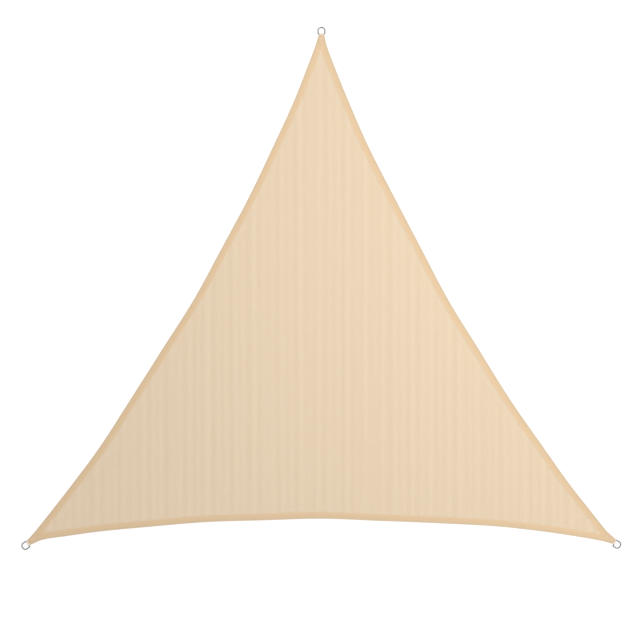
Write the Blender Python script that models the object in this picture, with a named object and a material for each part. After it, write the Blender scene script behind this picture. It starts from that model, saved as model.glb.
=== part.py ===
"""Triangular shade sail, laid out flat: knitted cloth with its hem, a webbing loop and a D-ring at each corner.

Metres, +Z up. The pieces are placed round an equilateral triangle in the plane z = 0, whose corners
are the middles of the cloth's squared ends. All of them hang on one empty, which then moves so that
the origin is under the middle of the whole sail, on the surface that it lies on.
"""

import math
from collections import namedtuple

import bmesh
import bpy
from mathutils import Vector
from mathutils.geometry import intersect_line_line

# Driving dimensions, in metres.
SIDE = 3.600  # between the middles of two squared ends
CLOTH_END = 0.034  # width of the cloth where each corner is cut off square
HEM_WIDTH = 0.040
FIELD_THICK = 0.0015  # one layer of knitted cloth
HEM_THICK = 0.0030  # the edge turned over twice and pressed flat
HEM_STEP = 0.0020  # width of the slope from the hem down to the field
CORNER_FLAT = 0.056  # how far the thick, crossed hems reach in from the squared end
CORNER_RAMP = 0.020  # and the length over which they thin out to one hem
CORNER_ZONE = 0.450  # hem pieces that start this near a corner are cut with it
FIT_GAP = 0.0003  # between pieces that touch on the real sail

WEBBING_WIDTH = 0.025
WEBBING_THICK = 0.00115
TAIL_LENGTH = 0.050  # of the webbing inside the corner
TAIL_BASE = 0.0015  # height of its underside there
MOUTH = 0.0008  # how far outside the corner the two layers part
LOOP_STEPS = 20  # straight pieces of the webbing round the bar

WIRE_RADIUS = 0.0030
RING_WIDTH = 0.042  # between the middles of the two legs
RING_LENGTH = 0.040  # from the middle of the bar to the middle of the bow
BOW_LENGTH = 0.017  # the part of that length in which the bow curves
BAR_BEND = 0.0040  # radius of the bend from the bar to a leg
BEND_STEPS = 4
BOW_STEPS = 15  # odd, so that one straight piece lies square across the end of the bow
WIRE_FACETS = 12

STATIONS = 36  # straight pieces of each edge

# Heights and radii that follow from those.
TAIL_THICK = 2 * WEBBING_THICK + FIT_GAP
CORNER_THICK = 2 * TAIL_BASE + TAIL_THICK
LOOP_RADIUS = WIRE_RADIUS + FIT_GAP + WEBBING_THICK / 2
BAR_HEIGHT = LOOP_RADIUS + WEBBING_THICK / 2

# How far each edge is drawn in from its chord, at a share of the way along it. The edges follow each
# other anticlockwise: left from the top corner, foot from the left corner, right from the right corner.
Section = namedtuple("Section", "share left foot right")
HOLLOW = (
    Section(0.00, 0.000, 0.000, 0.000),
    Section(0.02, 0.016, 0.031, 0.023),
    Section(0.06, 0.040, 0.053, 0.045),
    Section(0.12, 0.072, 0.082, 0.076),
    Section(0.20, 0.099, 0.109, 0.103),
    Section(0.30, 0.127, 0.138, 0.133),
    Section(0.40, 0.139, 0.149, 0.145),
    Section(0.50, 0.148, 0.158, 0.155),
    Section(0.60, 0.133, 0.144, 0.141),
    Section(0.70, 0.118, 0.129, 0.126),
    Section(0.80, 0.100, 0.109, 0.107),
    Section(0.88, 0.067, 0.077, 0.075),
    Section(0.94, 0.037, 0.045, 0.045),
    Section(0.98, 0.015, 0.019, 0.021),
    Section(1.00, 0.000, 0.000, 0.000),
)

# Where each corner stands round the middle and which way it points, in degrees; how far its squared
# end is pulled out and aside from the plain triangle; how far off its middle the webbing is sewn in;
# how far the bar of its ring is from the cloth; and how far that ring has slid along its bar.
Corner = namedtuple("Corner", "name stands points out aside sewn reach slid")
CORNERS = (
    Corner("top", 90, 90, 0.000, 0.000, 0.000, 0.0056, 0.0000),
    Corner("left", 210, 217.5, 0.009, 0.000, 0.000, 0.0080, 0.0028),
    Corner("right", 330, 329, 0.000, -0.004, -0.003, 0.0054, -0.0043),
)

# Base colour, roughness, metallic.
Finish = namedtuple("Finish", "colour roughness metallic")
KNITTED_CLOTH = Finish((0.84, 0.66, 0.47, 1), 0.85, 0)
PALE_WEBBING = Finish((0.90, 0.84, 0.75, 1), 0.75, 0)
BRIGHT_STEEL = Finish((0.62, 0.62, 0.63, 1), 0.25, 1)


def clear_scene():
    for obj in list(bpy.data.objects):
        bpy.data.objects.remove(obj, do_unlink=True)


def material(name, finish):
    made = bpy.data.materials.new(name)
    made.use_nodes = True
    shader = made.node_tree.nodes["Principled BSDF"]
    shader.inputs["Base Color"].default_value = finish.colour
    shader.inputs["Roughness"].default_value = finish.roughness
    shader.inputs["Metallic"].default_value = finish.metallic
    return made


def add_object(name, data, parent):
    obj = bpy.data.objects.new(name, data)
    bpy.context.scene.collection.objects.link(obj)
    obj.parent = parent
    return obj


def mesh_object(name, bm, parent):
    bmesh.ops.recalc_face_normals(bm, faces=bm.faces[:])
    mesh = bpy.data.meshes.new(name)
    bm.to_mesh(mesh)
    bm.free()
    return add_object(name, mesh, parent)


def towards(degrees):
    return Vector((math.cos(math.radians(degrees)), math.sin(math.radians(degrees)), 0))


def middle_of(corner):
    """The middle of this corner's squared end."""
    plain = towards(corner.stands) * SIDE / math.sqrt(3)
    return plain + axis_of(corner) * corner.out + across(corner) * corner.aside


def axis_of(corner):
    return towards(corner.points)


def across(corner):
    return towards(corner.points + 90)


def middle_of_webbing(corner):
    """Where the middle of the webbing comes out of the squared end."""
    return middle_of(corner) + across(corner) * corner.sewn


def depth_in(corner, point):
    """How far this point lies inside the corner's squared end."""
    flat = Vector((point.x, point.y, 0))
    return (middle_of(corner) - flat).dot(axis_of(corner))


# --- cloth ---------------------------------------------------------------------------------------


def hollow_at(edge, share):
    """Depth of the hollow, on a smooth curve through the rows of the table."""
    rows = [(row.share, getattr(row, edge)) for row in HOLLOW]
    first = max(i for i in range(len(rows) - 1) if rows[i][0] <= share)

    def slope(i):
        low, high = rows[max(i - 1, 0)], rows[min(i + 1, len(rows) - 1)]
        return (high[1] - low[1]) / (high[0] - low[0])

    (x0, y0), (x1, y1) = rows[first], rows[first + 1]
    step = x1 - x0
    t = (share - x0) / step
    return (
        (2 * t**3 - 3 * t**2 + 1) * y0
        + (t**3 - 2 * t**2 + t) * step * slope(first)
        + (3 * t**2 - 2 * t**3) * y1
        + (t**3 - t**2) * step * slope(first + 1)
    )


def edge_points(edge, start, end):
    """Points along one edge, from one squared end to the next, anticlockwise."""
    first = middle_of(start) + across(start) * CLOTH_END / 2
    last = middle_of(end) - across(end) * CLOTH_END / 2
    along = (last - first).normalized()
    inward = Vector((-along.y, along.x, 0))
    shares = [i / STATIONS for i in range(STATIONS + 1)]
    return [
        first.lerp(last, share) + inward * hollow_at(edge, share) for share in shares
    ]


def sharp_outline():
    """The outline as if the corners weren't cut off: each edge runs on until it meets the next."""
    top, left, right = CORNERS
    edges = [
        edge_points("left", top, left),
        edge_points("foot", left, right),
        edge_points("right", right, top),
    ]
    outline = []
    for before, after in zip([edges[-1]] + edges[:-1], edges):
        tip = intersect_line_line(before[-2], before[-1], after[0], after[1])[0]
        outline += [tip] + after[1:-1]
    return outline


def cut_across(bm, corner, depth, remove=False):
    """Cuts the hem's faces at this corner square to its axis, and drops what lies outside if asked."""
    middle = middle_of(corner)
    field = max(bm.faces, key=lambda face: len(face.verts))
    parts = []
    for face in bm.faces:
        nearest = min((middle - vert.co).length for vert in face.verts)
        if face is not field and nearest < CORNER_ZONE:
            parts += [face, *face.edges, *face.verts]
    bmesh.ops.bisect_plane(
        bm,
        geom=list(dict.fromkeys(parts)),
        plane_co=middle - axis_of(corner) * depth,
        plane_no=axis_of(corner),
        clear_outer=remove,
    )


def top_height(point):
    """Height of the hem's upper side: thick where the hems cross, then thinning to one hem."""
    nearest = min(CORNERS, key=lambda corner: (middle_of(corner) - point).length)
    past = (depth_in(nearest, point) - CORNER_FLAT) / CORNER_RAMP
    return CORNER_THICK + (HEM_THICK - CORNER_THICK) * min(max(past, 0), 1)


def make_pocket(corner, parent):
    """Cutter for the space between the layers of a corner, in which the webbing's tails lie."""
    low = TAIL_BASE - FIT_GAP
    high = TAIL_BASE + TAIL_THICK + FIT_GAP
    inner = TAIL_LENGTH + FIT_GAP
    outer = CLOTH_END
    bm = bmesh.new()
    bmesh.ops.create_cube(bm, size=1)
    for vert in bm.verts:
        vert.co.x = outer if vert.co.x > 0 else -inner
        vert.co.y *= WEBBING_WIDTH + 2 * FIT_GAP
        vert.co.z = high if vert.co.z > 0 else low
    pocket = mesh_object("pocket_" + corner.name, bm, parent)
    pocket.location = middle_of_webbing(corner)
    pocket.rotation_euler.z = math.radians(corner.points)
    pocket.hide_render = True
    pocket.display_type = "WIRE"
    return pocket


def make_cloth(parent):
    bm = bmesh.new()
    field = bm.faces.new([bm.verts.new(point) for point in sharp_outline()])
    field.normal_update()
    bmesh.ops.inset_region(
        bm, faces=[field], thickness=HEM_WIDTH, use_boundary=True, use_even_offset=True
    )
    for corner in CORNERS:
        cut_across(bm, corner, 0, remove=True)
        cut_across(bm, corner, CORNER_FLAT)
        cut_across(bm, corner, CORNER_FLAT + CORNER_RAMP)
    raised = bmesh.ops.extrude_face_region(bm, geom=bm.faces[:], use_keep_orig=True)
    upper = [part for part in raised["geom"] if isinstance(part, bmesh.types.BMVert)]
    for vert in upper:
        vert.co.z = top_height(vert.co)
    tops = [part for part in raised["geom"] if isinstance(part, bmesh.types.BMFace)]
    field = max(tops, key=lambda face: len(face.verts))
    bmesh.ops.recalc_face_normals(bm, faces=bm.faces[:])
    bmesh.ops.inset_region(
        bm,
        faces=[field],
        thickness=HEM_STEP,
        depth=FIELD_THICK - HEM_THICK,
        use_even_offset=True,
    )
    cloth = mesh_object("sail_cloth", bm, parent)
    cloth.data.materials.append(material("knitted_cloth", KNITTED_CLOTH))
    for corner in CORNERS:
        cut = cloth.modifiers.new("pocket_" + corner.name, "BOOLEAN")
        cut.operation = "DIFFERENCE"
        cut.object = make_pocket(corner, parent)
    return cloth


# --- webbing -------------------------------------------------------------------------------------


def webbing_path(reach):
    """Middle line of the folded webbing, as (out, up): in, round the bar and back on top."""
    bar = Vector((reach, BAR_HEIGHT))
    heights = (
        TAIL_BASE + WEBBING_THICK / 2,
        TAIL_BASE + TAIL_THICK - WEBBING_THICK / 2,
    )
    touching = []
    for height, turn in zip(heights, (-1, 1)):
        mouth = Vector((MOUTH, height))
        away = bar - mouth
        aim = math.atan2(away.y, away.x)
        aim += turn * math.asin(LOOP_RADIUS / away.length)
        run = math.sqrt(away.length_squared - LOOP_RADIUS**2)
        at = mouth + run * Vector((math.cos(aim), math.sin(aim)))
        touching.append(math.atan2(at.y - bar.y, at.x - bar.x))
    low, high = touching
    sweep = (high - low) % math.tau
    angles = [low + sweep * i / LOOP_STEPS for i in range(LOOP_STEPS + 1)]
    loop = [
        bar + LOOP_RADIUS * Vector((math.cos(angle), math.sin(angle)))
        for angle in angles
    ]
    tail = -TAIL_LENGTH
    return (
        [Vector((tail, heights[0])), Vector((MOUTH, heights[0]))]
        + loop
        + [Vector((MOUTH, heights[1])), Vector((tail, heights[1]))]
    )


def beside(path, distance):
    """The path moved sideways by this distance, with mitred corners."""
    moved = []
    for i, point in enumerate(path):
        before = (point - path[max(i - 1, 0)]).normalized()
        after = (path[min(i + 1, len(path) - 1)] - point).normalized()
        normal = (before.orthogonal() + after.orthogonal()).normalized()
        straight = after if before.length == 0 else before
        moved.append(point + normal * distance / normal.dot(straight.orthogonal()))
    return moved


def make_strap(corner, parent, finish):
    path = webbing_path(corner.reach)
    sides = beside(path, WEBBING_THICK / 2) + beside(path, -WEBBING_THICK / 2)[::-1]
    bm = bmesh.new()
    face = bm.faces.new(
        [bm.verts.new((side.x, -WEBBING_WIDTH / 2, side.y)) for side in sides]
    )
    grown = bmesh.ops.extrude_face_region(bm, geom=[face], use_keep_orig=True)
    far = [part for part in grown["geom"] if isinstance(part, bmesh.types.BMVert)]
    bmesh.ops.translate(bm, verts=far, vec=(0, WEBBING_WIDTH, 0))
    strap = mesh_object("strap_" + corner.name, bm, parent)
    strap.data.materials.append(finish)
    strap.location = middle_of_webbing(corner)
    strap.rotation_euler.z = math.radians(corner.points)
    return strap


# --- rings ---------------------------------------------------------------------------------------


def arc(centre, radii, first, last, steps):
    """Points on an arc of an ellipse, between two angles in degrees."""
    angles = [
        math.radians(first + (last - first) * i / steps) for i in range(steps + 1)
    ]
    return [
        (centre[0] + radii[0] * math.cos(a), centre[1] + radii[1] * math.sin(a))
        for a in angles
    ]


def ring_path():
    """Middle line of the wire, as (out from the bar, along the bar)."""
    half = RING_WIDTH / 2
    bend = (BAR_BEND, BAR_BEND)
    bow_start = RING_LENGTH - BOW_LENGTH
    return (
        arc((BAR_BEND, BAR_BEND - half), bend, 180, 270, BEND_STEPS)
        + arc((bow_start, 0), (BOW_LENGTH, half), -90, 90, BOW_STEPS)
        + arc((BAR_BEND, half - BAR_BEND), bend, 90, 180, BEND_STEPS)
    )


def make_ring(corner, parent, finish):
    """Round wire along the path. Its bow leans down from the bar to the surface below."""
    wire = bpy.data.curves.new("ring_" + corner.name, "CURVE")
    wire.dimensions = "3D"
    wire.twist_mode = "Z_UP"
    wire.bevel_depth = WIRE_RADIUS
    wire.bevel_resolution = (WIRE_FACETS - 4) // 2
    spline = wire.splines.new("POLY")
    points = ring_path()
    spline.points.add(len(points) - 1)
    for point, (out, along) in zip(spline.points, points):
        point.co = (out, along, 0, 1)
        point.tilt = math.pi / WIRE_FACETS  # turns a facet, not an edge, to the inside
    spline.use_cyclic_u = True
    wire.materials.append(finish)
    ring = add_object(wire.name, wire, parent)
    slid = across(corner) * corner.slid
    ring.location = middle_of_webbing(corner) + axis_of(corner) * corner.reach + slid
    ring.location.z = BAR_HEIGHT
    lean = math.asin((BAR_HEIGHT - WIRE_RADIUS) / RING_LENGTH)
    ring.rotation_euler = (0, lean, math.radians(corner.points))
    return ring


# --- whole sail ----------------------------------------------------------------------------------


def middle_of_all(objects):
    """The middle of the box round these objects, seen from above."""
    graph = bpy.context.evaluated_depsgraph_get()
    points = []
    for obj in objects:
        shown = obj.evaluated_get(graph)
        mesh = shown.to_mesh()
        points += [shown.matrix_world @ vert.co for vert in mesh.vertices]
        shown.to_mesh_clear()
    xs = [point.x for point in points]
    ys = [point.y for point in points]
    return Vector(((min(xs) + max(xs)) / 2, (min(ys) + max(ys)) / 2, 0))


def main():
    clear_scene()
    sail = add_object("sail", None, None)
    webbing = material("pale_webbing", PALE_WEBBING)
    steel = material("bright_steel", BRIGHT_STEEL)
    pieces = [make_cloth(sail)]
    for corner in CORNERS:
        pieces.append(make_strap(corner, sail, webbing))
        pieces.append(make_ring(corner, sail, steel))
    bpy.context.view_layer.update()
    sail.location = -middle_of_all(pieces)


main()
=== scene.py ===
# %% [markdown]
# # A triangular shade sail, laid out flat
#
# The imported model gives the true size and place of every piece: one sheet of knitted cloth, and at
# each corner a folded webbing strap and a bent-wire D-ring. This script keeps those places and
# makes the pieces as one would see them from close by: the knit, the turned hem with its three
# rows of stitches, the crossed hems at the corners, the woven webbing and the drawn wire.

# %% Load the frame
import math
from collections import namedtuple

import bmesh
import bpy
import numpy as np
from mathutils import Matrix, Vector, noise
from mathutils.geometry import delaunay_2d_cdt


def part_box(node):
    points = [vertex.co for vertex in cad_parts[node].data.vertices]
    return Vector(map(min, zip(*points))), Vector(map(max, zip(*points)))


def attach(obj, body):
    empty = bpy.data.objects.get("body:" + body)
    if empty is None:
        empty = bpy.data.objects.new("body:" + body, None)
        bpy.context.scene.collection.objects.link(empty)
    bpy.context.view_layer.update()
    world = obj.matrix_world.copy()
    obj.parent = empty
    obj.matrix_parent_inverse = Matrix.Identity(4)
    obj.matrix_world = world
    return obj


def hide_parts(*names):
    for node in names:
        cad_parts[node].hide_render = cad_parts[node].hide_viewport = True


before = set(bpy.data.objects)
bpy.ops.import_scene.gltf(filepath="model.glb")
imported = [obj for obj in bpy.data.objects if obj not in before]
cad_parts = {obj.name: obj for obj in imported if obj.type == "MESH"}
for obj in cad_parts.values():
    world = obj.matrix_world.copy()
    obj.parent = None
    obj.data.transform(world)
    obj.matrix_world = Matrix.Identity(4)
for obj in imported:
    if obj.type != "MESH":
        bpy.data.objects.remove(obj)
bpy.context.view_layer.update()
print("nodes:", ", ".join(sorted(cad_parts)))

# %% [markdown]
# ## The camera
#
# The sail was seen square on from far away. A camera straight above it with a long lens gives that
# view, turned by the small angle by which the sail leans in the picture. The lens follows from the
# width of the surface that the picture shows.

# %% Camera
PICTURE_WIDTH = 3.940  # metres of the surface across the picture
CAMERA_HEIGHT = 9.0
PICTURE_MIDDLE = (-0.0057, -0.1957)
CAMERA_ROLL = math.radians(-0.087)

bpy.ops.object.camera_add(location=(*PICTURE_MIDDLE, CAMERA_HEIGHT), rotation=(0, 0, CAMERA_ROLL))
camera = bpy.context.object
camera.data.lens = camera.data.sensor_width * CAMERA_HEIGHT / PICTURE_WIDTH
bpy.context.scene.camera = camera
print(f"camera: {camera.data.lens:.1f} mm lens, {CAMERA_HEIGHT} m up")

# %% [markdown]
# ## Materials as sums
#
# A material is a net of nodes. Written out node by node it is hard to read, so a small class stands
# for one output of a node and lets Python's own + - * / add the Math nodes. Every other kind of
# node comes from its method `node`, which makes the settings first and then joins the inputs.


# %% A node output that takes part in sums
class Wire:
    """One output of a node. Sums of wires and numbers add the Math nodes that they need."""

    def __init__(self, socket):
        self.socket = socket

    def node(self, kind, inputs, output=0, **settings):
        made = self.socket.id_data.nodes.new("ShaderNode" + kind)
        for name, value in settings.items():
            setattr(made, name, value)
        for key, value in inputs.items():
            if isinstance(value, Wire):
                self.socket.id_data.links.new(value.socket, made.inputs[key])
            else:
                made.inputs[key].default_value = value
        return Wire(made.outputs[output])

    def maths(self, operation, *values):
        return self.node("Math", dict(enumerate(values)), operation=operation)

    def __add__(self, other):
        return self.maths("ADD", self, other)

    def __radd__(self, other):
        return self.maths("ADD", other, self)

    def __sub__(self, other):
        return self.maths("SUBTRACT", self, other)

    def __rsub__(self, other):
        return self.maths("SUBTRACT", other, self)

    def __mul__(self, other):
        return self.maths("MULTIPLY", self, other)

    def __rmul__(self, other):
        return self.maths("MULTIPLY", other, self)

    def __truediv__(self, other):
        return self.maths("DIVIDE", self, other)

    def fraction(self):
        return self.maths("FRACT", self)

    def whole(self):
        return self.maths("FLOOR", self)

    def size(self):
        return self.maths("ABSOLUTE", self)

    def wave(self):
        return self.maths("SINE", self)

    def squared(self):
        return self * self

    def rising(self, low, high):
        """0 below low, 1 above high, and a smooth rise between them."""
        values = {"Value": self, "From Min": low, "From Max": high}
        return self.node("MapRange", values, interpolation_type="SMOOTHSTEP")

    def falling(self, low, high):
        return 1 - self.rising(low, high)

    def towards(self, first, second):
        """The colour first where this wire is 0, and second where it is 1."""
        return self.node("Mix", {"Factor": self, 6: first, 7: second}, output=2, data_type="RGBA")


# %% [markdown]
# A finish starts as a Principled shader whose constants are set on its own sockets. Colours are
# given as they are read off a screen, from 0 to 255, and turned into the linear values that the
# renderer works with.


# %% New finishes and colours
def seen(red, green, blue):
    """A colour as a screen shows it, made linear."""
    shares = [value / 255 for value in (red, green, blue)]
    return (*[s / 12.92 if s <= 0.04045 else ((s + 0.055) / 1.055) ** 2.4 for s in shares], 1)


def new_finish(name, **constants):
    """A material, its shader's inputs by name, and a wire to start its nodes from."""
    made = bpy.data.materials.new(name)
    made.use_nodes = True
    shader = made.node_tree.nodes["Principled BSDF"]
    for socket, value in constants.items():
        shader.inputs[socket.replace("_", " ")].default_value = value
    return made, shader, Wire(shader.outputs[0])


def feed(shader, **wires):
    """Joins each wire to the shader's input of that name."""
    for socket, wire in wires.items():
        shader.id_data.links.new(wire.socket, shader.inputs[socket.replace("_", " ")])


def bump(height, depth):
    """A normal for a relief of this depth in metres, from a height between 0 and 1."""
    return height.node("Bump", {"Height": height, "Distance": depth})


print(f"a grey seen as 128 of 255 is {seen(128, 128, 128)[0]:.3f} when linear")

# %% [markdown]
# ## Floor and light
#
# The surface is a white light table: it glows a little itself, so that nothing throws a shadow on
# it, and comes out barely white, because a surface much brighter than white would eat into thin
# things in front of it. Most of the light comes from all round, which keeps a flat sheet even. One
# soft spot lamp hangs high over the upper right, outside the picture. The rim of its pool of light
# falls across the sail, so the sail darkens gently towards its lower left corner.

# %% Floor, sky and lamp
FLOOR_SIZE = 60.0
FLOOR_GAP = 0.0002  # under the cloth, so that two surfaces never share a plane
FLOOR_GREY = 0.3
FLOOR_GLOW = 0.71
SKY_STRENGTH = 1.0
LAMP_AT = (2.50, 1.19, 6.5)
LAMP_RADIUS = 0.5
LAMP_POOL = 5.5  # radius of the pool of light on the surface
LAMP_POWER = 600.0

bpy.ops.mesh.primitive_plane_add(size=FLOOR_SIZE, location=(0, 0, -FLOOR_GAP))
floor = bpy.context.object
floor.name = "floor"
white, _, _ = new_finish(
    "white_floor",
    Base_Color=(FLOOR_GREY, FLOOR_GREY, FLOOR_GREY, 1),
    Roughness=0.9,
    Emission_Color=(1, 1, 1, 1),
    Emission_Strength=FLOOR_GLOW,
)
floor.data.materials.append(white)

world = bpy.data.worlds.new("even_sky")
world.use_nodes = True
world.node_tree.nodes["Background"].inputs["Color"].default_value = (1, 1, 1, 1)
world.node_tree.nodes["Background"].inputs["Strength"].default_value = SKY_STRENGTH
bpy.context.scene.world = world

bpy.ops.object.light_add(type="SPOT", location=LAMP_AT)
lamp = bpy.context.object
lamp.data.spot_size = 2 * math.atan(LAMP_POOL / LAMP_AT[2])
lamp.data.spot_blend = 1.0
lamp.data.shadow_soft_size = LAMP_RADIUS
lamp.data.energy = LAMP_POWER
bpy.context.scene.view_settings.view_transform = "Standard"
print(f"lamp: {LAMP_POWER:.0f} W, {LAMP_AT[2]:.1f} m up")

# %% [markdown]
# ## The plan of the cloth
#
# The sail is cut from an equilateral triangle. Each edge is drawn in to a hollow, so that it pulls
# tight, and each corner is cut off square. The hollow of each edge is a short table: how deep it is
# at a share of the way along. A smooth curve goes through its rows. The edges follow each other
# anticlockwise, left from the top corner, foot from the left one and right from the right one.

# %% Driving sizes of the cloth, in metres
SIDE = 3.600  # between the middles of two squared ends
CLOTH_END = 0.034  # width of a squared end
HEM_WIDTH = 0.040
LAYER = 0.0015  # thickness of one layer of the knit, and what each hem adds to it
TAIL_BASE = 0.0015  # height of the webbing inside a corner
TAIL_THICK = 0.0026  # its two layers
CORNER_THICK = 2 * TAIL_BASE + TAIL_THICK
TAIL_LENGTH = 0.050
WEBBING_WIDTH = 0.025
FIT_GAP = 0.0003

Section = namedtuple("Section", "share left foot right")
HOLLOW = (
    Section(0.00, 0.000, 0.000, 0.000),
    Section(0.02, 0.016, 0.031, 0.023),
    Section(0.06, 0.040, 0.053, 0.045),
    Section(0.12, 0.072, 0.082, 0.076),
    Section(0.20, 0.099, 0.109, 0.103),
    Section(0.30, 0.127, 0.138, 0.133),
    Section(0.40, 0.139, 0.149, 0.145),
    Section(0.50, 0.148, 0.158, 0.155),
    Section(0.60, 0.133, 0.144, 0.141),
    Section(0.70, 0.118, 0.129, 0.126),
    Section(0.80, 0.100, 0.109, 0.107),
    Section(0.88, 0.067, 0.077, 0.075),
    Section(0.94, 0.037, 0.045, 0.045),
    Section(0.98, 0.015, 0.019, 0.021),
    Section(1.00, 0.000, 0.000, 0.000),
)

# Where each corner stands and points, in degrees, how far it is pulled out and aside from the plain
# triangle, how far off its middle the webbing is sewn in, how far the bar of its ring is from the
# cloth, and how far the ring has slid along it.
Corner = namedtuple("Corner", "name stands points out aside sewn reach slid")
TOP = Corner("top", 90, 90, 0.000, 0.000, 0.000, 0.0056, 0.0000)
LEFT = Corner("left", 210, 217.5, 0.009, 0.000, 0.000, 0.0080, 0.0028)
RIGHT = Corner("right", 330, 329, 0.000, -0.004, -0.003, 0.0054, -0.0043)
CORNERS = (TOP, LEFT, RIGHT)
EDGES = (("left", TOP, LEFT), ("foot", LEFT, RIGHT), ("right", RIGHT, TOP))


# %% Corners and hollow edges
def heading(degrees):
    return np.array([math.cos(math.radians(degrees)), math.sin(math.radians(degrees))])


def axis_of(corner):
    return heading(corner.points)


def across(corner):
    return heading(corner.points + 90)


def middle_of(corner):
    plain = heading(corner.stands) * SIDE / math.sqrt(3)
    return plain + axis_of(corner) * corner.out + across(corner) * corner.aside


def middle_of_webbing(corner):
    return middle_of(corner) + across(corner) * corner.sewn


def hollow(edge, shares):
    """Depth of the hollow at these shares, on a smooth curve through the rows of the table."""
    x = np.array([row.share for row in HOLLOW])
    y = np.array([getattr(row, edge) for row in HOLLOW])
    low, high = np.maximum(np.arange(len(x)) - 1, 0), np.minimum(np.arange(len(x)) + 1, len(x) - 1)
    slope = (y[high] - y[low]) / (x[high] - x[low])
    i = np.clip(np.searchsorted(x, shares, side="right") - 1, 0, len(x) - 2)
    step = x[i + 1] - x[i]
    t = (shares - x[i]) / step
    return (
        (2 * t**3 - 3 * t**2 + 1) * y[i]
        + (t**3 - 2 * t**2 + t) * step * slope[i]
        + (3 * t**2 - 2 * t**3) * y[i + 1]
        + (t**3 - t**2) * step * slope[i + 1]
    )


STATIONS = 480  # points along an edge, about 7 mm apart
CROWDING = 0.5  # how much closer together they stand at its ends


def edge_curve(edge, start, end):
    """Points along one edge and the unit vectors that point from them into the cloth."""
    first = middle_of(start) + across(start) * CLOTH_END / 2
    last = middle_of(end) - across(end) * CLOTH_END / 2
    along = (last - first) / np.linalg.norm(last - first)
    even = np.linspace(0, 1, STATIONS + 1)
    shares = even - CROWDING * np.sin(math.tau * even) / math.tau
    points = first + np.outer(shares, last - first)
    points += np.outer(hollow(edge, shares), (-along[1], along[0]))
    tangents = np.gradient(points, axis=0)
    tangents /= np.linalg.norm(tangents, axis=1)[:, None]
    return points, np.stack([-tangents[:, 1], tangents[:, 0]], axis=1)


curves = [edge_curve(*edge) for edge in EDGES]
plan = np.concatenate([points for points, inward in curves])
low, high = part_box("sail_cloth")
SHIFT = np.array([(low.x + high.x) / 2, (low.y + high.y) / 2]) - (plan.min(0) + plan.max(0)) / 2
print("plan:", np.round(plan.max(0) - plan.min(0), 4), "m, moved by", np.round(SHIFT, 4))

# %% [markdown]
# ## A sheet with a turned hem
#
# The edge of the panel is turned over twice and sewn down. From above that gives a fold along the
# outside, a raised band, and a step down where the turned edge ends. At a corner two such bands
# cross, and the webbing between them lifts the top layer a little more.
#
# It could be made from a polygon by inset, but near the sharp corners an inset of a finely divided
# edge runs into itself. Here the plan is drawn instead: lines beside each edge, at the distances
# where the height changes, run on through the corners and cross. Blender's own triangulation fills
# the plan and keeps every line. Then each point gets a height above and below.

# %% Distances from the edges
AT_ONCE = 2000  # points that are measured together, so that the tables stay small


def distances(points):
    """For each edge, and each point: its distance, the inward vector there, how far along it is."""
    found = []
    for line, inward in curves:
        nearest = np.empty(len(points), int)
        for piece in np.array_split(np.arange(len(points)), len(points) // AT_ONCE + 1):
            gaps = points[piece, None, :] - line[None, :, :]
            nearest[piece] = (gaps**2).sum(axis=2).argmin(axis=1)
        away = points - line[nearest]
        along = np.stack([inward[nearest, 1], -inward[nearest, 0]], axis=1)
        depth = (away * inward[nearest]).sum(axis=1)
        steps = np.linalg.norm(np.diff(line, axis=0), axis=1)
        run = np.concatenate([[0], np.cumsum(steps)])[nearest] + (away * along).sum(axis=1)
        found.append((depth, inward[nearest], run))
    return found


from_middle = [round(float(depth[0]), 3) for depth, _, _ in distances(np.zeros((1, 2)))]
print("from the middle to the left, foot and right edges:", from_middle, "m")

# %% Heights across the hem
STITCH_ROWS = (0.0070, 0.0105, 0.0360)  # distance of the three rows from the folded edge
STITCH_DENT = 0.00030
DENT_WIDTH = 0.0010
PUCKER_HEIGHT = 0.00022
PUCKER_LENGTH = 0.024
PUCKER_SHIFT = 3.7  # in the noise, so that each edge has puckers of its own
STEP_AT = (0.0387, 0.0394, 0.0400, 0.0404, 0.0407)
STEP_SHARE = (1.0, 0.95, 0.70, 0.25, 0.0)  # of the hem's thickness that is left there
BESIDE_WEBBING = (0.0008, 0.0024, 0.0040)  # where the top layer comes down beside the webbing
BEYOND_WEBBING = (0.0015, 0.0037, 0.0060)  # and past the ends of its tails
OVER_WEBBING = 0.00035  # what is left to see of a hem's thickness over the webbing


def smooth(value, low, high):
    share = np.clip((value - low) / (high - low), 0, 1)
    return share * share * (3 - 2 * share)


def webbing_share(points):
    """1 where webbing lies under the top layer of a corner, falling to 0 round it."""
    share = np.zeros(len(points))
    for corner in CORNERS:
        away = points - middle_of_webbing(corner)
        beside = np.abs(away @ across(corner)) - WEBBING_WIDTH / 2
        beyond = -(away @ axis_of(corner)) - TAIL_LENGTH
        aside = 1 - smooth(beside, BESIDE_WEBBING[0], BESIDE_WEBBING[-1])
        inwards = 1 - smooth(beyond, BEYOND_WEBBING[0], BEYOND_WEBBING[-1])
        share = np.maximum(share, aside * inwards)
    return share


def thickness(points, found):
    """Thickness of the cloth at each point, from its layers, its stitches and its puckers."""
    layers = np.zeros(len(points))
    unevenness = np.zeros(len(points))
    for index, (depth, _, run) in enumerate(found):
        layer = np.interp(depth, STEP_AT, STEP_SHARE)
        dents = sum(np.exp(-(((depth - row) / DENT_WIDTH) ** 2)) for row in STITCH_ROWS)
        places = [Vector((r / PUCKER_LENGTH, PUCKER_SHIFT * index, 0)) for r in run]
        waves = np.array([noise.noise(place) for place in places])
        bulge = np.sin(math.pi * np.clip(depth / HEM_WIDTH, 0, 1))
        layers += layer
        unevenness += waves * bulge * PUCKER_HEIGHT - dents * (layer > 0) * STITCH_DENT
    bare = LAYER * (1 + layers)
    padded = CORNER_THICK - OVER_WEBBING * (2 - layers)
    return bare + (padded - bare) * webbing_share(points) + unevenness


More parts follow.
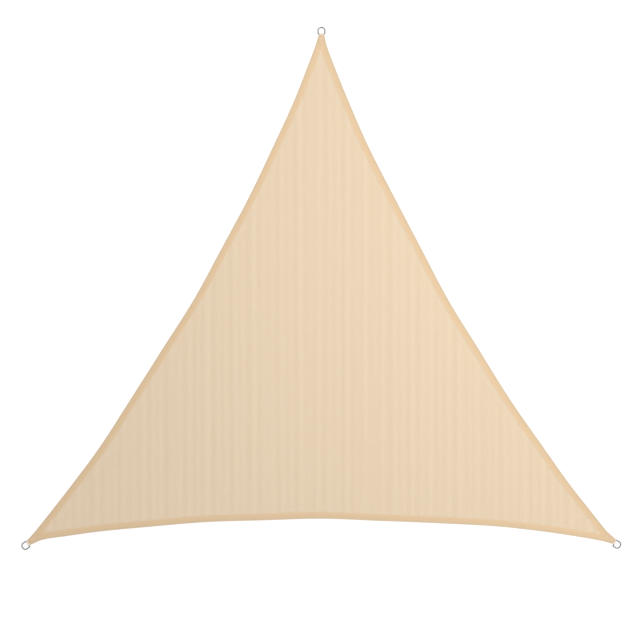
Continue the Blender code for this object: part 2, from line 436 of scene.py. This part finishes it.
foot, into_foot = curves[1]
places = foot[STATIONS // 2] + np.outer((HEM_WIDTH / 2, 2 * HEM_WIDTH), into_foot[STATIONS // 2])
print("hem and panel:", np.round(thickness(places, distances(places)) * 1000, 2), "mm thick")

# %% Lines of the plan
FOLD_LINES = (0.0001, 0.0004, 0.0008, 0.0015)
DENT_LINES = (-0.0012, 0.0, 0.0012)  # beside each row of stitches
SPARE_LINES = (0.022, 0.046)  # they keep the triangles beside the others small
STITCH_LINES = [row + dent for row in STITCH_ROWS for dent in DENT_LINES]
HEM_LINES = sorted([*FOLD_LINES, *STEP_AT, *SPARE_LINES, *STITCH_LINES])
END_PIECES = 24  # of a squared end
RUN_ON = 0.030  # how far the lines run on past the squared ends
ALONG_WEBBING = (-0.060, 0.005)  # reach of the lines along the webbing of a corner
ACROSS_WEBBING = (-0.040, 0.040)  # and of those across it
LINE_POINTS = 27


def outline_points():
    """The outline anticlockwise, the squared ends divided into short pieces."""
    points = []
    for index, (line, _) in enumerate(curves):
        points += list(line)
        following = curves[(index + 1) % len(curves)][0][0]
        shares = np.arange(1, END_PIECES) / END_PIECES
        points += [line[-1] + (following - line[-1]) * share for share in shares]
    return points


def beside_edge(line, inward, depth):
    """A line at this distance from an edge, run on straight past both of its ends."""
    moved = line + inward * depth
    first = (moved[0] - moved[1]) / np.linalg.norm(moved[0] - moved[1])
    last = (moved[-1] - moved[-2]) / np.linalg.norm(moved[-1] - moved[-2])
    return np.concatenate([[moved[0] + first * RUN_ON], moved, [moved[-1] + last * RUN_ON]])


def corner_lines(corner):
    """Straight lines round the webbing inside a corner, where the top layer rises over it."""
    middle, out, aside = middle_of_webbing(corner), axis_of(corner), across(corner)
    along = middle + np.outer(np.linspace(*ALONG_WEBBING, LINE_POINTS), out)
    for beside in BESIDE_WEBBING:
        for side in (-1, 1):
            yield along + aside * side * (WEBBING_WIDTH / 2 + beside)
    over = middle + np.outer(np.linspace(*ACROSS_WEBBING, LINE_POINTS), aside)
    for beyond in BEYOND_WEBBING:
        yield over - out * (TAIL_LENGTH + beyond)


print("lines beside each edge:", len(HEM_LINES))

# %% Triangles between the lines
FIELD_SPACING = 0.06  # of the points inside the hem
SAME_PLACE = 1e-6  # points nearer together than this are one


def triangulate():
    """Points and triangles of the plan, with every line kept."""
    outline = outline_points()
    points, edges = list(outline), []
    lines = [beside_edge(*curve, depth) for curve in curves for depth in HEM_LINES]
    lines += [line for corner in CORNERS for line in corner_lines(corner)]
    for line in lines:
        edges += [(len(points) + i, len(points) + i + 1) for i in range(len(line) - 1)]
        points += list(line)
    grid = np.arange(-SIDE, SIDE, FIELD_SPACING)
    field = np.array([(x, y) for y in grid for x in grid])
    field = field[np.min([depth for depth, _, _ in distances(field)], axis=0) > FIELD_SPACING]
    inside = np.abs(field[:, 0]) + np.abs(field[:, 1]) < SIDE
    points += list(field[inside])
    vectors, whole = [Vector(point) for point in points], range(len(outline))
    result = delaunay_2d_cdt(vectors, edges, [whole], 1, SAME_PLACE)
    return np.array(result[0]), np.array(result[2])


def within_cloth(places):
    """True for each place that lies inside the three edges and the three squared ends."""
    inside = np.min([depth for depth, _, _ in distances(places)], axis=0) > 0
    for corner in CORNERS:
        inside &= (places - middle_of(corner)) @ axis_of(corner) < 0
    return inside


plan_points, plan_faces = triangulate()
plan_faces = plan_faces[within_cloth(plan_points[plan_faces].mean(axis=1))]
used, plan_faces = np.unique(plan_faces, return_inverse=True)
plan_points, plan_faces = plan_points[used], plan_faces.reshape(-1, 3)
found = distances(plan_points)
inset = np.maximum(np.min([depth for depth, _, _ in found], axis=0), 0)
print(f"plan: {len(plan_points)} points, {len(plan_faces)} triangles")

# %% [markdown]
# The same triangles serve the upper side and the underside. Along the hollow edges both sides meet
# in the fold. At the squared ends they don't: there a wall joins them, and the webbing comes out.
# Only the hem lies on the surface. The single layer between is thin, and stretches from hem to hem
# just above it.

# %% The sheet as a mesh
FOLD_RADIUS = 0.0015
CLOSED_BELOW = 0.01  # share of the fold's round below which both sides have the same points
FIELD_LIFT = 0.0013  # of the underside of the single layer


def fold_share(found):
    """0 on the folded edge and 1 past the round of the fold."""
    nearest = np.min([depth for depth, _, _ in found], axis=0)
    share = np.clip(nearest / FOLD_RADIUS, 0, 1)
    return np.sqrt(np.maximum(1 - (1 - share) ** 2, 0))


def boundary_edges(faces):
    """The edges that belong to one triangle only, each in the direction in which it runs."""
    runs = np.concatenate([faces[:, [0, 1]], faces[:, [1, 2]], faces[:, [2, 0]]])
    either_way = np.sort(runs, axis=1)
    _, index, count = np.unique(either_way, axis=0, return_index=True, return_counts=True)
    return runs[index[count == 1]]


thick = thickness(plan_points, found)
rounding = fold_share(found)
raised = FIELD_LIFT * (1 - np.interp(inset, STEP_AT, STEP_SHARE))
closed = rounding < CLOSED_BELOW
count = len(plan_points)
lower = np.where(closed, np.arange(count), 0)
lower[~closed] = count + np.arange((~closed).sum())
place = plan_points + SHIFT
upper_side = np.column_stack([place, thick * (1 + rounding) / 2])
lower_side = np.column_stack([place, thick * (1 - rounding) / 2 + raised])[~closed]
faces = plan_faces.tolist() + lower[plan_faces[:, ::-1]].tolist()
for a, b in boundary_edges(plan_faces):
    if not (closed[a] and closed[b]):
        wall = [b, a, lower[a], lower[b]]
        faces.append([int(corner) for corner in dict.fromkeys(wall)])

mesh = bpy.data.meshes.new("sail_sheet")
mesh.from_pydata(np.concatenate([upper_side, lower_side]).tolist(), [], faces)
sail_sheet = bpy.data.objects.new("sail_sheet", mesh)
bpy.context.scene.collection.objects.link(sail_sheet)
print(f"sheet: {len(mesh.polygons)} faces, {thick.max() * 1000:.1f} mm at its thickest")

# %% [markdown]
# ## Which way the knit runs
#
# The panel's loops stand in columns from the foot to the top. The turned edge is the same cloth,
# folded over, so on it the columns run as in a mirror along the fold. A UV map in metres says this:
# a point of the turned edge gets the place where it would lie if the fold were opened. Where two
# hems cross, the one that was sewn last is on top.


# %% Knit map and distance from the edge
def knit_places(points, faces, found):
    """For each corner of each upper triangle, its place on the panel before the hem was turned."""
    flat = points[faces]
    middles = [depth[faces].mean(axis=1) for depth, _, _ in found]
    for index, (depth, inward, _) in enumerate(found):
        following = middles[index - 2]  # from the next edge, whose hem is on top in their corner
        covered = (middles[index] < HEM_WIDTH) & ~((following < HEM_WIDTH) & (following > 0))
        opened = points - 2 * depth[:, None] * inward
        flat[covered] = opened[faces[covered]]
    return flat


knit = mesh.uv_layers.new(name="knit")
flat = np.zeros((len(mesh.loops), 2))
upper = 3 * len(plan_faces)  # corners of all the upper triangles, and as many lower ones follow
flat[:upper] = knit_places(plan_points, plan_faces, found).reshape(-1, 2)
flat[upper : 2 * upper] = plan_points[plan_faces[:, ::-1]].reshape(-1, 2)
walls = mesh.loops[2 * upper :]
flat[2 * upper :] = [mesh.vertices[loop.vertex_index].co.xy for loop in walls]
knit.uv.foreach_set("vector", flat.ravel())

inside = mesh.attributes.new("inset", "FLOAT", "POINT")
inside.data.foreach_set("value", np.concatenate([inset, inset[~closed]]))
print("knit map:", np.round(np.ptp(flat, axis=0), 3), "m, inset up to", inset.max().round(3), "m")

# %% [markdown]
# ## Pockets for the webbing
#
# Each length of webbing is sewn in between the layers of its corner. A box cut out of the cloth
# with a Boolean modifier makes that room, a little larger than the two tails.


# %% Work by hand in object mode and edit mode
def deselect_all():
    bpy.ops.object.select_all(action="DESELECT")


def pick(obj):
    """obj alone is selected and active."""
    deselect_all()
    obj.select_set(True)
    bpy.context.view_layer.objects.active = obj


def settle(obj):
    """The object's place goes into its mesh, and the object itself to the origin."""
    pick(obj)
    bpy.ops.object.transform_apply(location=True, rotation=True, scale=True)


def put_in_corner(obj, corner, out=0.0, aside=0.0, up=0.0, lean=0.0):
    """From its own frame, X out of the corner and Z up, to its place on the sail."""
    x, y = middle_of_webbing(corner) + axis_of(corner) * out + across(corner) * aside + SHIFT
    obj.location = (x, y, up)
    obj.rotation_euler = (0, lean, math.radians(corner.points))
    settle(obj)


# %% Cut the pockets
POCKET_OVER = 0.020  # how far each box reaches out of the cloth
CLOTH_CREASE = 62  # degrees between two faces from which their edge stays sharp

for corner in CORNERS:
    deselect_all()
    bpy.ops.mesh.primitive_cube_add(size=1)
    pocket = bpy.context.object
    length = TAIL_LENGTH + FIT_GAP + POCKET_OVER
    pocket.scale = (length, WEBBING_WIDTH + 2 * FIT_GAP, TAIL_THICK + 2 * FIT_GAP)
    settle(pocket)
    put_in_corner(pocket, corner, out=POCKET_OVER - length / 2, up=TAIL_BASE + TAIL_THICK / 2)
    pick(sail_sheet)
    cut = sail_sheet.modifiers.new("pocket", "BOOLEAN")
    cut.operation = "DIFFERENCE"
    cut.object = pocket
    bpy.ops.object.modifier_apply(modifier=cut.name)
    bpy.data.objects.remove(pocket)

maps = sail_sheet.data.uv_layers
maps.remove(maps["UVMap"])  # the boxes brought it along
pick(sail_sheet)
bpy.ops.object.shade_smooth_by_angle(angle=math.radians(CLOTH_CREASE))
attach(sail_sheet, "root")
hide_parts("sail_cloth")
print(f"cloth with its pockets: {len(sail_sheet.data.polygons)} faces")

# %% [markdown]
# ## Stitches
#
# A lockstitch shows as a row of short lengths of thread, each sunk at both ends. One is modelled as
# a grain of thread. An Array modifier repeats it and a Curve modifier lays the row along the hem,
# at the height that the cloth has there.

# %% One stitch, and rows of it
STITCH_PITCH = 0.0050
CORNER_PITCH = 0.0040
STITCH_SIZE = (0.0046, 0.0009, 0.0008)
STITCH_RISE = 0.00010  # of its middle over the cloth


def make_stitch(name, middle):
    """A grain of thread along X round x = middle, thick there and pointed at both ends."""
    deselect_all()
    bpy.ops.mesh.primitive_uv_sphere_add(segments=6, ring_count=5, radius=0.5)
    stitch = bpy.context.object
    stitch.name = name
    bpy.ops.object.mode_set(mode="EDIT")
    bpy.ops.transform.rotate(value=math.pi / 2, orient_axis="Y", center_override=(0, 0, 0))
    bpy.ops.transform.resize(value=STITCH_SIZE, center_override=(0, 0, 0))
    bpy.ops.transform.translate(value=(middle, 0, 0))
    bpy.ops.object.mode_set(mode="OBJECT")
    bpy.ops.object.shade_smooth()
    return stitch


def curve_through(name, points):
    """A curve object whose one spline goes straight from each of these points to the next."""
    curve = bpy.data.curves.new(name, "CURVE")
    curve.dimensions = "3D"
    curve.twist_mode = "Z_UP"
    spline = curve.splines.new("POLY")
    spline.points.add(len(points) - 1)
    spline.points.foreach_set("co", np.column_stack([points, np.ones(len(points))]).ravel())
    made = bpy.data.objects.new(name, curve)
    bpy.context.scene.collection.objects.link(made)
    return made


def row_of_stitches(name, line, pitch):
    """Stitches along a line of points in space, about this far apart."""
    guide = curve_through(name + "_path", line)
    length = np.linalg.norm(np.diff(line, axis=0), axis=1).sum()
    count = round(length / pitch)
    pitch = length / count  # so that the stitches fill the line
    stitch = make_stitch(name, pitch / 2)
    pick(stitch)
    array = stitch.modifiers.new("row", "ARRAY")
    array.count = count
    array.use_relative_offset = False
    array.use_constant_offset = True
    array.constant_offset_displace = (pitch, 0, 0)
    bend = stitch.modifiers.new("lay", "CURVE")
    bend.object = guide
    bpy.ops.object.modifier_apply(modifier=array.name)
    bpy.ops.object.modifier_apply(modifier=bend.name)
    bpy.data.objects.remove(guide)
    return stitch


def join(parts, name):
    deselect_all()
    for part in parts:
        part.select_set(True)
    bpy.context.view_layer.objects.active = parts[0]
    bpy.ops.object.join()
    parts[0].name = name
    return parts[0]


def on_cloth(points):
    """These places of the plan, lifted onto the cloth."""
    height = thickness(points, distances(points)) + STITCH_RISE
    return np.column_stack([points + SHIFT, height])


def evenly(points, spacing):
    """Points along the same line, about this far apart."""
    run = np.concatenate([[0], np.cumsum(np.linalg.norm(np.diff(points, axis=0), axis=1))])
    even = np.linspace(0, run[-1], int(run[-1] / spacing) + 1)
    return np.column_stack([np.interp(even, run, points[:, 0]), np.interp(even, run, points[:, 1])])


print(f"stitches: {STITCH_SIZE[0] * 1000:.1f} mm long, about every {STITCH_PITCH * 1000:.0f} mm")

# %% Hem stitches
ROW_END = 0.004  # how far from a squared end or the next edge a row stops
ROW_SPACING = 0.0015  # of the points of a row, close enough to follow the step of a crossing hem
threads = []
for index, (edge, _, _) in enumerate(EDGES):
    line, inward = curves[index]
    rows = []
    for depth in STITCH_ROWS:
        points = line + inward * depth
        gaps = [gap for i, (gap, _, _) in enumerate(distances(points)) if i != index]
        keep = np.min(gaps, axis=0) > ROW_END
        for corner in CORNERS:
            keep &= (points - middle_of(corner)) @ axis_of(corner) < -ROW_END
        row = on_cloth(evenly(points[keep], ROW_SPACING))
        rows.append(row_of_stitches("row_" + edge, row, STITCH_PITCH))
    threads.append(join(rows, "hem_thread_" + edge))
print("hem stitches:", [len(thread.data.polygons) for thread in threads])

# %% [markdown]
# The webbing is held in its corner by a box of stitches with a cross in it, the usual seam for a
# load. It goes through both tails, so it lies on the thick part of the corner.

# %% Box and cross at each corner
BOX_LENGTH = 0.040
BOX_WIDTH = 0.019
BOX_START = 0.005  # from the squared end
SEAM_POINTS = 25  # along each of its six lines


def box_and_cross(corner):
    """Lines of the seam, in the corner's own directions."""
    near, far, half = -BOX_START, -BOX_START - BOX_LENGTH, BOX_WIDTH / 2
    a, b, c, d = (near, -half), (near, half), (far, half), (far, -half)
    for start, end in ((a, b), (b, c), (c, d), (d, a), (a, c), (b, d)):
        shares = np.linspace(0, 1, SEAM_POINTS)[:, None]
        local = np.array(start) * (1 - shares) + np.array(end) * shares
        yield middle_of_webbing(corner) + local @ np.array([axis_of(corner), across(corner)])


for corner in CORNERS:
    rows = [
        row_of_stitches("row_" + corner.name, on_cloth(points), CORNER_PITCH)
        for points in box_and_cross(corner)
    ]
    threads.append(join(rows, "corner_thread_" + corner.name))
for thread in threads:
    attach(thread, "root")
print("corner stitches:", [len(thread.data.polygons) for thread in threads[len(EDGES) :]])

# %% [markdown]
# ## Webbing
#
# The ring hangs in a short length of woven webbing, folded round its straight bar, with both tails
# sewn into the corner. A flat strip is drawn out from one tail to the bar, spun round it and drawn
# back. Then it gets its thickness, and its selvedges are rounded.

# %% Sizes of the webbing and the ring
WEBBING_THICK = 0.00115
MOUTH = 0.0008  # how far out of the cloth the two tails still lie flat
WIRE_RADIUS = 0.0030
RING_WIDTH = 0.042  # along the bar, between the middles of the wire
RING_LENGTH = 0.040  # from the bar to the end of the bow
BOW_LENGTH = 0.017
BAR_BEND = 0.0040
LOOP_RADIUS = WIRE_RADIUS + FIT_GAP + WEBBING_THICK / 2
BAR_HEIGHT = LOOP_RADIUS + WEBBING_THICK / 2
LOW = TAIL_BASE + WEBBING_THICK / 2  # the middle of the lower tail
HIGH = TAIL_BASE + TAIL_THICK - WEBBING_THICK / 2  # and of the upper one
LOOP_STEPS = 28


def touch_angle(reach, height, side):
    """Angle on the loop where a straight run from the mouth, at this height, touches it."""
    away = Vector((reach - MOUTH, BAR_HEIGHT - height))
    aim = math.atan2(away.y, away.x) + side * math.asin(LOOP_RADIUS / away.length)
    return aim + side * math.pi / 2


print(f"bar: {BAR_HEIGHT * 1000:.1f} mm up, in a loop of {2000 * LOOP_RADIUS:.1f} mm")


# %% Fold a strip round the bar
def select_where(obj, test):
    """In edit mode, exactly the vertices whose place passes the test are selected."""
    bm = bmesh.from_edit_mesh(obj.data)
    for vert in bm.verts:
        vert.select_set(bool(test(vert.co)))
    bm.select_flush_mode()
    bmesh.update_edit_mesh(obj.data)


def draw_out(x, z):
    """The selected edge is drawn out by this much, and the new edge is selected."""
    bpy.ops.mesh.extrude_region_move(TRANSFORM_OT_translate={"value": (x, 0, z)})


def fold_strip(name, reach):
    """The strip's middle surface, from the end of one tail to the end of the other."""
    low, high = touch_angle(reach, LOW, -1), touch_angle(reach, HIGH, 1)
    deselect_all()
    bpy.ops.mesh.primitive_plane_add(size=1, location=((MOUTH - TAIL_LENGTH) / 2, 0, LOW))
    strip = bpy.context.object
    strip.name = name
    strip.scale = (TAIL_LENGTH + MOUTH, WEBBING_WIDTH, 1)
    settle(strip)
    bpy.ops.object.mode_set(mode="EDIT")
    bpy.ops.mesh.select_mode(type="VERT")
    select_where(strip, lambda place: place.x > 0)
    first = Vector((reach + LOOP_RADIUS * math.cos(low), BAR_HEIGHT + LOOP_RADIUS * math.sin(low)))
    last = Vector((reach + LOOP_RADIUS * math.cos(high), BAR_HEIGHT + LOOP_RADIUS * math.sin(high)))
    draw_out(first.x - MOUTH, first.y - LOW)
    centre = (reach, 0, BAR_HEIGHT)
    sweep = (high - low) % math.tau
    bpy.ops.mesh.spin(steps=LOOP_STEPS, angle=sweep, center=centre, axis=(0, 1, 0))
    draw_out(MOUTH - last.x, HIGH - last.y)
    draw_out(-TAIL_LENGTH - MOUTH, 0)
    bpy.ops.object.mode_set(mode="OBJECT")
    return strip


# %% Weave map of a strip
HAIR = 0.00001  # metres past the mouth that still count as the mouth
SLACK = 0.01  # radians, so that the loop's first point isn't taken for a whole turn


def map_strip(strip, reach):
    """A UV map in metres, along the webbing and across it."""
    low = touch_angle(reach, LOW, -1)
    sweep = (touch_angle(reach, HIGH, 1) - low) % math.tau
    run = math.sqrt((reach - MOUTH) ** 2 + (BAR_HEIGHT - LOW) ** 2 - LOOP_RADIUS**2)

    def along(place):
        if place.x > MOUTH + HAIR:
            angle = math.atan2(place.z - BAR_HEIGHT, place.x - reach)
            return MOUTH + run + LOOP_RADIUS * ((angle - low + SLACK) % math.tau - SLACK)
        if place.z < (LOW + HIGH) / 2:
            return place.x
        return MOUTH + 2 * run + LOOP_RADIUS * sweep + MOUTH - place.x

    weave = strip.data.uv_layers["UVMap"]
    weave.name = "weave"
    for loop, uv in zip(strip.data.loops, weave.uv):
        place = strip.data.vertices[loop.vertex_index].co
        uv.vector = (along(place), place.y)


# %% Make the straps
SELVEDGE_ROUND = 0.0004
SELVEDGE_FROM = 60  # degrees between two faces from which their edge is rounded
WEBBING_CREASE = 40  # and from which it stays sharp
straps = []
for corner in CORNERS:
    strap = fold_strip("webbing_" + corner.name, corner.reach)
    map_strip(strap, corner.reach)
    wall = strap.modifiers.new("thickness", "SOLIDIFY")
    wall.thickness = WEBBING_THICK
    wall.offset = 0
    wall.use_even_offset = True
    bpy.ops.object.modifier_apply(modifier=wall.name)
    round_off = strap.modifiers.new("selvedge", "BEVEL")
    round_off.width = SELVEDGE_ROUND
    round_off.segments = 3
    round_off.angle_limit = math.radians(SELVEDGE_FROM)
    bpy.ops.object.modifier_apply(modifier=round_off.name)
    bpy.ops.object.shade_smooth_by_angle(angle=math.radians(WEBBING_CREASE))
    put_in_corner(strap, corner)
    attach(strap, "root")
    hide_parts("strap_" + corner.name)
    straps.append(strap)
print("straps:", [len(strap.data.polygons) for strap in straps])

# %% [markdown]
# ## Rings
#
# Each ring is a length of round wire bent to a D, with the weld hidden under the webbing. A curve
# along the middle of the wire, given the wire's thickness, is the shortest way to that shape. It is
# turned into a mesh, and then leans down from its bar until its bow touches the surface.

# %% Bend the wire
BEND_PIECES = 8  # of the middle line at each end of the bar
BOW_PIECES = 48
WIRE_ROUNDNESS = 10  # which gives the wire 24 sides


def arc(centre, radii, first, last, steps):
    """Points on an arc of an ellipse, between two angles in degrees."""
    angles = np.radians(np.linspace(first, last, steps + 1))
    return np.column_stack(
        [centre[0] + radii[0] * np.cos(angles), centre[1] + radii[1] * np.sin(angles)]
    )


def wire_path():
    """Middle line of the wire, as (out from the bar, along the bar)."""
    half = RING_WIDTH / 2
    bend = (BAR_BEND, BAR_BEND)
    return np.concatenate(
        [
            arc((BAR_BEND, BAR_BEND - half), bend, 180, 270, BEND_PIECES),
            arc((RING_LENGTH - BOW_LENGTH, 0), (BOW_LENGTH, half), -90, 90, BOW_PIECES),
            arc((BAR_BEND, half - BAR_BEND), bend, 90, 180, BEND_PIECES),
        ]
    )


path = wire_path()
lean = math.asin((BAR_HEIGHT - WIRE_RADIUS) / RING_LENGTH)
rings = []
for corner in CORNERS:
    ring = curve_through("wire_" + corner.name, np.column_stack([path, np.zeros(len(path))]))
    ring.data.splines[0].use_cyclic_u = True
    ring.data.bevel_depth = WIRE_RADIUS
    ring.data.bevel_resolution = WIRE_ROUNDNESS
    pick(ring)
    bpy.ops.object.convert(target="MESH")
    ring = bpy.context.object
    put_in_corner(ring, corner, out=corner.reach, aside=corner.slid, up=BAR_HEIGHT, lean=lean)
    bpy.ops.object.shade_smooth()
    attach(ring, "root")
    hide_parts("ring_" + corner.name)
    rings.append(ring)
print("rings:", [len(ring.data.polygons) for ring in rings])

# %% [markdown]
# ## Finish of the knitted cloth
#
# The cloth is a warp knit: columns of loops, the pillars, joined by flat slanting tapes, with small
# openings between them. Each column takes the dye a little differently, which from far away shows
# as faint streaks along the columns. The openings are holes in the panel, and closed on the hem,
# where three layers lie on each other. A relief and a mask made from the knit map give all of it.

# %% Pillars, tapes and openings
WALE = 0.0032  # from one column of loops to the next
COURSE = 0.0028  # height of one loop
PILLAR_SIDE = (0.14, 0.30)  # where a pillar ends, in wales from its middle
TAPE_SIDE = (0.35, 0.42)  # where a tape ends, in courses
PILLAR_WAVER, TAPE_WAVER = 0.10, 0.5
YARN_FROM = (0.25, 0.5)  # where in the soft sides of both the openings end
LOOP_ROUND = (0.05, 0.5)  # how a loop falls away, in courses from its middle
LOOP_HEIGHT = 0.3  # of the whole pillar's
TAPE_ROUND = (0.20, 0.47)
TAPE_HEIGHT = 0.45  # of a pillar's
CLOSED_TO = (0.0402, 0.0412)  # between these distances from the edge the openings begin

knitted, shader, start = new_finish("sand_knit", Roughness=0.85, Specular_IOR_Level=0.25)
place = start.node("UVMap", {}, uv_map="knit")
u = place.node("SeparateXYZ", {"Vector": place}, output=0)
v = place.node("SeparateXYZ", {"Vector": place}, output=1)
from_edge = start.node("Attribute", {}, output=2, attribute_name="inset")

wobble = place.node("TexNoise", {"Vector": place, "Scale": 120.0, "Detail": 1.0}) - 0.5
beside_pillar = ((u / WALE).fraction() - 0.5).size() + PILLAR_WAVER * wobble
pillar = beside_pillar.falling(*PILLAR_SIDE)
gap = u / WALE + 0.5
slant = (gap.whole() * 0.5).fraction() * 4 - 1  # 1 and -1 by turns, from gap to gap
course = v / COURSE + TAPE_WAVER * wobble
beside_tape = ((course + (gap.fraction() - 0.5) * slant).fraction() - 0.5).size()
tape = beside_tape.falling(*TAPE_SIDE)
loops = (course.fraction() - 0.5).size().falling(*LOOP_ROUND)
pillar_relief = pillar * (1 - LOOP_HEIGHT + LOOP_HEIGHT * loops)
relief = pillar_relief + (1 - pillar) * beside_tape.falling(*TAPE_ROUND) * TAPE_HEIGHT
cover = pillar.maths("MAXIMUM", pillar, tape).rising(*YARN_FROM)
on_hem = from_edge.falling(*CLOSED_TO)
print(f"knit: a loop is {WALE * 1000:.1f} mm wide and {COURSE * 1000:.1f} mm high")

# %% Streaks
DYE_STREAKS = 0.3
FINE_STREAKS = 0.25
BANDS = (  # spacing, strength and unevenness of the broader streaks
    (0.0573, 0.17, 5.0),
    (0.098, 0.11, 9.0),
    (0.0246, 0.04, 3.0),
)

dye = start.node("TexWhiteNoise", {"W": (u / WALE).whole()}, noise_dimensions="1D")
stretched = place.node("Mapping", {"Vector": place, "Scale": (1, 0.03, 1)})
fine = place.node("TexNoise", {"Vector": stretched, "Scale": 36.0, "Detail": 2.0})
streaks = 0.5 + DYE_STREAKS * (dye - 0.5) + FINE_STREAKS * (fine - 0.5)
for spacing, strength, unevenness in BANDS:
    drift = place.node("TexNoise", {"Vector": stretched, "Scale": unevenness, "Detail": 1.0})
    streaks = streaks + strength * (u * (math.tau / spacing) + drift * 6).wave()
print("streaks:", ", ".join(f"{spacing * 1000:.0f} mm" for spacing, _, _ in BANDS), "apart")

# %% Colours of the panel and the hem
RELIEF = 0.0004
EDGE_TO = (0.010, 0.016)  # between these distances the darker side of the hem ends
STEP_FROM = (0.029, 0.038)  # and its lighter side begins
DARK_FIELD = seen(215, 191, 158)
LIGHT_FIELD = seen(223, 201, 171)
EDGE_COLOUR = seen(212, 187, 154)  # of the hem along its fold
HEM_COLOUR = seen(219, 190, 153)
# Painted light: the hem is coloured lighter towards its step, which evens out the shade on the step.
STEP_PAINTED_LIGHT = seen(224, 196, 161)  # of the hem where it ends

at_edge = from_edge.falling(*EDGE_TO)
# painted light on the hem, rising towards its step
painted_step_light = from_edge.rising(*STEP_FROM)
hem = at_edge.towards(painted_step_light.towards(HEM_COLOUR, STEP_PAINTED_LIGHT), EDGE_COLOUR)
colour = on_hem.towards(streaks.towards(DARK_FIELD, LIGHT_FIELD), hem)
# Painted shade: the colour darkens where the knit's relief is low and in its openings, where lower
# layers lie in shade.
painted_knit_shade = 0.90 + 0.06 * relief + 0.05 * cover  # a little darker deep down and in the openings
colour = painted_knit_shade.node("VectorMath", {0: colour, "Scale": painted_knit_shade}, operation="SCALE")
feed(
    shader,
    Base_Color=colour,
    Alpha=cover.maths("MAXIMUM", cover, on_hem),
    Normal=bump(relief, RELIEF),
)
sail_sheet.data.materials.append(knitted)
print("knitted cloth:", len(knitted.node_tree.nodes), "nodes")

# %% [markdown]
# ## Finish of thread, webbing and steel
#
# Thread is twisted, webbing is a plain weave of thick yarns, and the rings are drawn steel wire
# with fine marks along it. Shade is painted between the plies and the yarns, and dark reflections
# are painted into the steel.

# %% Thread
PLIES_ROUND = 3
PLIES_ALONG = 4  # that pass by from one end of a stitch to the other
THREAD_RELIEF = 0.0001
# The darker colour is painted shade between the plies; the lighter one is the thread's own.
THREAD_SHADE_AND_COLOUR = (seen(198, 184, 160), seen(230, 218, 196))  # between the plies and on them

sewn, shader, start = new_finish("sewing_thread", Roughness=0.6, Specular_IOR_Level=0.4)
turn = start.node("UVMap", {}, uv_map="UVMap")
round_it = turn.node("SeparateXYZ", {"Vector": turn}, output=0)
along_it = turn.node("SeparateXYZ", {"Vector": turn}, output=1)
twist = ((round_it * PLIES_ROUND + along_it * PLIES_ALONG).fraction() - 0.5).size() * 2
feed(shader, Base_Color=twist.towards(*THREAD_SHADE_AND_COLOUR), Normal=bump(twist, THREAD_RELIEF))
for thread in threads:
    thread.data.materials.clear()
    thread.data.materials.append(sewn)
print("thread:", len(sewn.node_tree.nodes), "nodes, on", len(threads), "pieces")

# %% Webbing
WARP = 0.0015  # width of the yarns along the webbing
WEFT = 0.0018  # and of those across it
WEFT_HEIGHT = 0.7  # beside the height of the others
WEAVE_RELIEF = 0.00025
# The darker colour is painted shade between the yarns; the lighter one is the webbing's own.
WEAVE_SHADE_AND_COLOUR = (seen(212, 200, 182), seen(250, 242, 230))  # between the yarns and on them

woven, shader, start = new_finish("woven_webbing", Roughness=0.75, Specular_IOR_Level=0.3)
strip = start.node("UVMap", {}, uv_map="weave")
lengthwise = strip.node("SeparateXYZ", {"Vector": strip}, output=0) / WEFT
crosswise = strip.node("SeparateXYZ", {"Vector": strip}, output=1) / WARP
warp_round = 1 - (2 * crosswise.fraction() - 1).squared()
weft_round = 1 - (2 * lengthwise.fraction() - 1).squared()
over = ((lengthwise.whole() + crosswise.whole()) * 0.5).fraction() * 2
yarns = over * warp_round + (1 - over) * weft_round * WEFT_HEIGHT
feed(shader, Base_Color=yarns.towards(*WEAVE_SHADE_AND_COLOUR), Normal=bump(yarns, WEAVE_RELIEF))
for strap in straps:
    strap.data.materials.append(woven)
print("webbing:", len(woven.node_tree.nodes), "nodes, on", len(straps), "pieces")

# %% Steel wire
MARK_SCALE = (4, 160, 1)  # of the noise, along the wire and round it
MARK_RELIEF = 0.00003
# Painted reflections: the steel is coloured far darker than bare steel, in cloudy patches, for the
# dark surroundings that polished steel would reflect.
STEEL_PAINTED_DARK_REFLECTIONS = ((0.06, 0.06, 0.07, 1), (0.22, 0.22, 0.22, 1))

steel, shader, start = new_finish("drawn_steel", Metallic=1.0)
wire = start.node("UVMap", {}, uv_map="UVMap")
drawn = wire.node("Mapping", {"Vector": wire, "Scale": MARK_SCALE})
marks = drawn.node("TexNoise", {"Vector": drawn, "Scale": 1.0, "Detail": 4.0})
place = start.node("TexCoord", {}, output=3)
cloudy = place.node("TexNoise", {"Vector": place, "Scale": 90.0, "Detail": 2.0})
# the marks along the wire, with painted dark reflections in cloudy patches
marks_and_dark_reflections = (0.35 * marks + 0.65 * cloudy).rising(0.3, 0.7)
feed(
    shader,
    Base_Color=marks_and_dark_reflections.towards(*STEEL_PAINTED_DARK_REFLECTIONS),
    Roughness=0.16 + 0.12 * marks,
    Normal=bump(marks, MARK_RELIEF),
)
for ring in rings:
    ring.data.materials.clear()
    ring.data.materials.append(steel)
print("steel:", len(steel.node_tree.nodes), "nodes, on", len(rings), "pieces")
